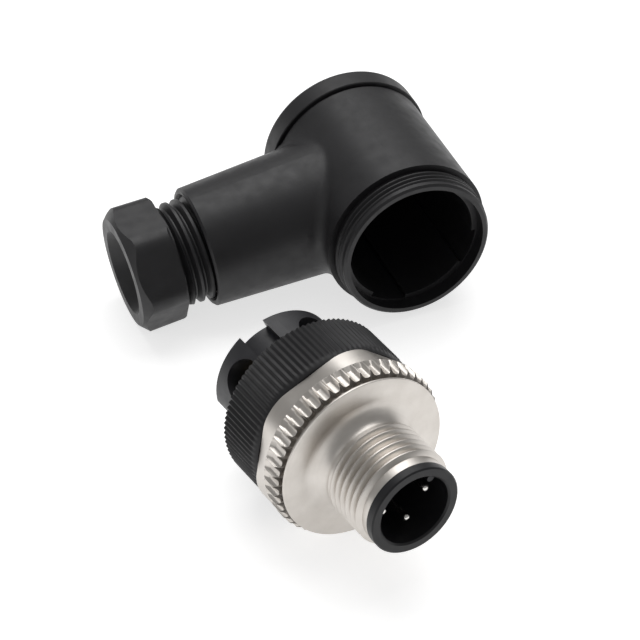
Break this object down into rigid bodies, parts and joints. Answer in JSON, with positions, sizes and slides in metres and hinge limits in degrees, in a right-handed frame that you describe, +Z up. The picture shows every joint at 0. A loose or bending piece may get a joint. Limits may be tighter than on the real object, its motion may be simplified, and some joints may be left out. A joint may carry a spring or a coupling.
{
  "type": "circular connector",
  "caption": "Angled field-wired round plug lying open in two halves: keyed contact cup with threaded metal ring, and an elbow shell with cable gland.",
  "frame": {"origin": "middle of the footprint of both halves, on the table they lie on", "axes": "+Z up, -Y towards the open end of the elbow shell, -X towards its side tube"},
  "size_m": [0.0426, 0.0652, 0.0212],
  "materials": {
    "housing": "satin moulded black polyamide",
    "gland": "satin moulded black polyamide",
    "thrust_ring": "plain moulded grey plastic",
    "seal": "smooth moulded rubber",
    "nickel": "satin nickel plate on cast zinc",
    "insert": "satin moulded black polyamide",
    "block": "satin moulded black polyamide",
    "union": "satin moulded black polyamide",
    "pin": "bright nickel plate on brass",
    "clamp": "plain machined brass",
    "screw": "nickel plated steel"
  },
  "bodies": {
    "base": {"housing": "housing", "cable_seal": "seal", "contact_insert": "insert", "terminal_block": "block", "housing_seal": "seal", "contact_pin_1": "pin", "wire_clamp_1": "clamp", "contact_pin_2": "pin", "wire_clamp_2": "clamp", "contact_pin_3": "pin", "wire_clamp_3": "clamp", "contact_pin_4": "pin", "wire_clamp_4": "clamp"},
    "thrust_ring": {"thrust_ring": "thrust_ring"},
    "pressing_screw": {"pressing_screw": "gland"},
    "coupling_ring": {"coupling_ring": "nickel"},
    "union_ring": {"union_ring": "union"},
    "clamp_screw_1": {"clamp_screw_1": "screw"},
    "clamp_screw_2": {"clamp_screw_2": "screw"},
    "clamp_screw_3": {"clamp_screw_3": "screw"},
    "clamp_screw_4": {"clamp_screw_4": "screw"}
  },
  "joints": [
    {"name": "gland_feed", "type": "slide", "parent": "base", "child": "thrust_ring", "axis": [0.9949, 0, 0.1008], "range_m": [-0.0012, 0.00355]},
    {"name": "gland_turn", "type": "hinge", "parent": "thrust_ring", "child": "pressing_screw", "pos_m": [-0.01369, 0.02238, 0.00763], "axis": [0.9949, 0, 0.1008], "range_deg": [-340.16, 1006.3]},
    {"name": "coupling_turn", "type": "hinge", "parent": "base", "child": "coupling_ring", "pos_m": [-0.00884, -0.02182, 0.01069], "axis": [0.1717, -0.9848, 0.026], "continuous": true},
    {"name": "union_turn", "type": "hinge", "parent": "base", "child": "union_ring", "pos_m": [-0.01021, -0.01394, 0.01048], "axis": [0.1717, -0.9848, 0.026], "continuous": true},
    {"name": "clamp_screw_1_turn", "type": "hinge", "parent": "base", "child": "clamp_screw_1", "pos_m": [-0.01555, -0.00851, 0.01282], "axis": [-0.8554, -0.1359, 0.4998], "continuous": true},
    {"name": "clamp_screw_2_turn", "type": "hinge", "parent": "base", "child": "clamp_screw_2", "pos_m": [-0.01372, -0.00837, 0.00599], "axis": [-0.4887, -0.1081, -0.8657], "continuous": true},
    {"name": "clamp_screw_3_turn", "type": "hinge", "parent": "base", "child": "clamp_screw_3", "pos_m": [-0.007, -0.00715, 0.00782], "axis": [0.8554, 0.1359, -0.4998], "continuous": true},
    {"name": "clamp_screw_4_turn", "type": "hinge", "parent": "base", "child": "clamp_screw_4", "pos_m": [-0.00883, -0.00729, 0.01465], "axis": [0.4887, 0.1081, 0.8657], "continuous": true}
  ],
  "couplings": [
    {"joint": "gland_turn", "follows": "gland_feed", "rad_per_m": 4947.4}
  ]
}
